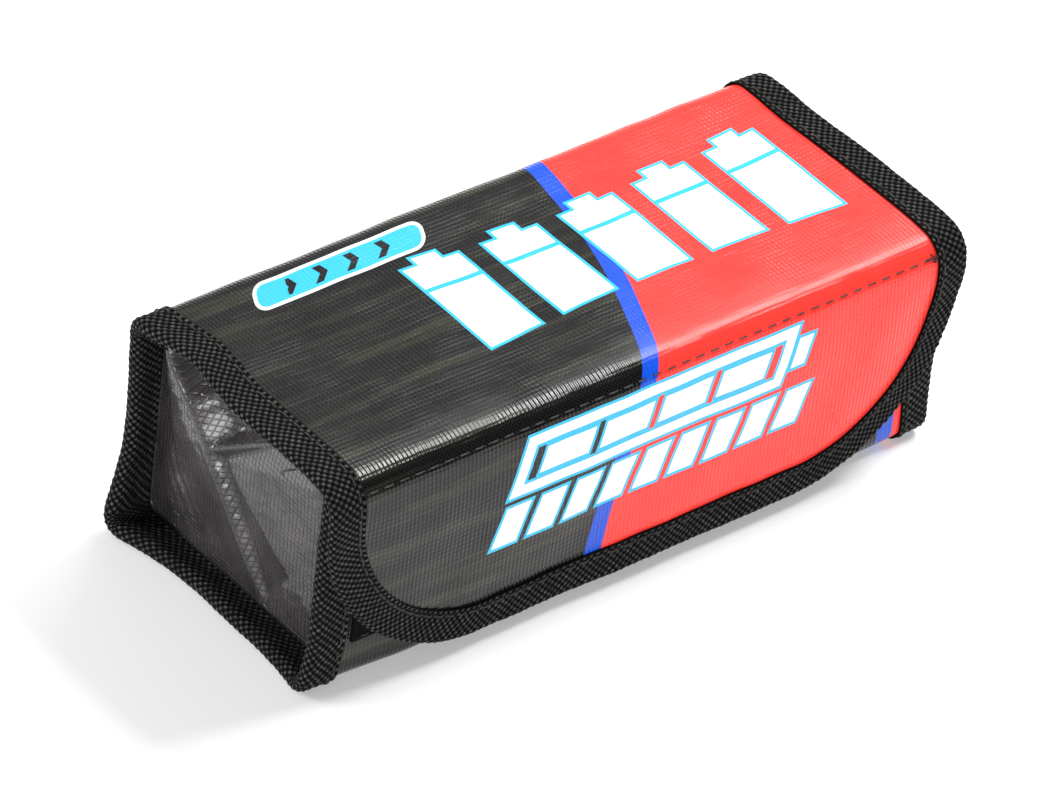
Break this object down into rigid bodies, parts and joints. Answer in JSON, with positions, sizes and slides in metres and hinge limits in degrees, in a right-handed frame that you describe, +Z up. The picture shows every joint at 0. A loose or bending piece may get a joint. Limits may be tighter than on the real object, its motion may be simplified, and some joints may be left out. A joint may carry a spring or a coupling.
{
  "type": "battery charge bag",
  "caption": "Soft boxy fire-resistant charge bag with creased end gussets, bound edges, a hinged lid and a rounded front flap closed by hook and loop tape.",
  "frame": {"origin": "bottom centre of the closed bag, on the surface it stands on", "axes": "+X along the bag's length, +Y from the flap to the back wall, +Z up"},
  "size_m": [0.188, 0.0806, 0.063],
  "materials": {
    "printed_cloth": "coated glossy glass cloth with a fine rib, printed red, blue and black",
    "gusset_cloth": "coated glossy black glass cloth with a square grid weave",
    "glass_core": "matt glass-fibre felt",
    "lining_cloth": "satin grey glass cloth",
    "binding_tape": "matt woven tape",
    "thread": "satin sewing thread",
    "loop_pile": "matt soft loop pile",
    "hook_pile": "satin fine hooks"
  },
  "bodies": {
    "body": {"outer_shell": "printed_cloth", "shell_core": "glass_core", "shell_lining": "lining_cloth", "left_gusset": "gusset_cloth", "right_gusset": "gusset_cloth", "left_gusset_lining": "lining_cloth", "right_gusset_lining": "lining_cloth", "left_end_binding": "binding_tape", "right_end_binding": "binding_tape", "front_rim_binding": "binding_tape", "loop_tape": "loop_pile", "left_end_stitching": "thread", "right_end_stitching": "thread", "front_rim_stitching": "thread", "loop_tape_stitching": "thread"},
    "lid": {"lid_cover": "printed_cloth", "lid_core": "glass_core", "lid_lining": "lining_cloth", "lid_left_binding": "binding_tape", "lid_right_binding": "binding_tape", "lid_stitching": "thread", "fold_stitching": "thread"},
    "flap": {"flap_cover": "printed_cloth", "flap_core": "glass_core", "flap_lining": "lining_cloth", "flap_binding": "binding_tape", "flap_stitching": "thread", "hook_tape": "hook_pile", "hook_tape_stitching": "thread"}
  },
  "joints": [
    {"name": "lid_hinge", "type": "hinge", "parent": "body", "child": "lid", "pos_m": [0, 0.03729, 0.06004], "axis": [-1, 0, 0], "range_deg": [0, 180]},
    {"name": "flap_hinge", "type": "hinge", "parent": "lid", "child": "flap", "pos_m": [0, -0.037, 0.05975], "axis": [-1, 0, 0], "range_deg": [0, 180]}
  ]
}
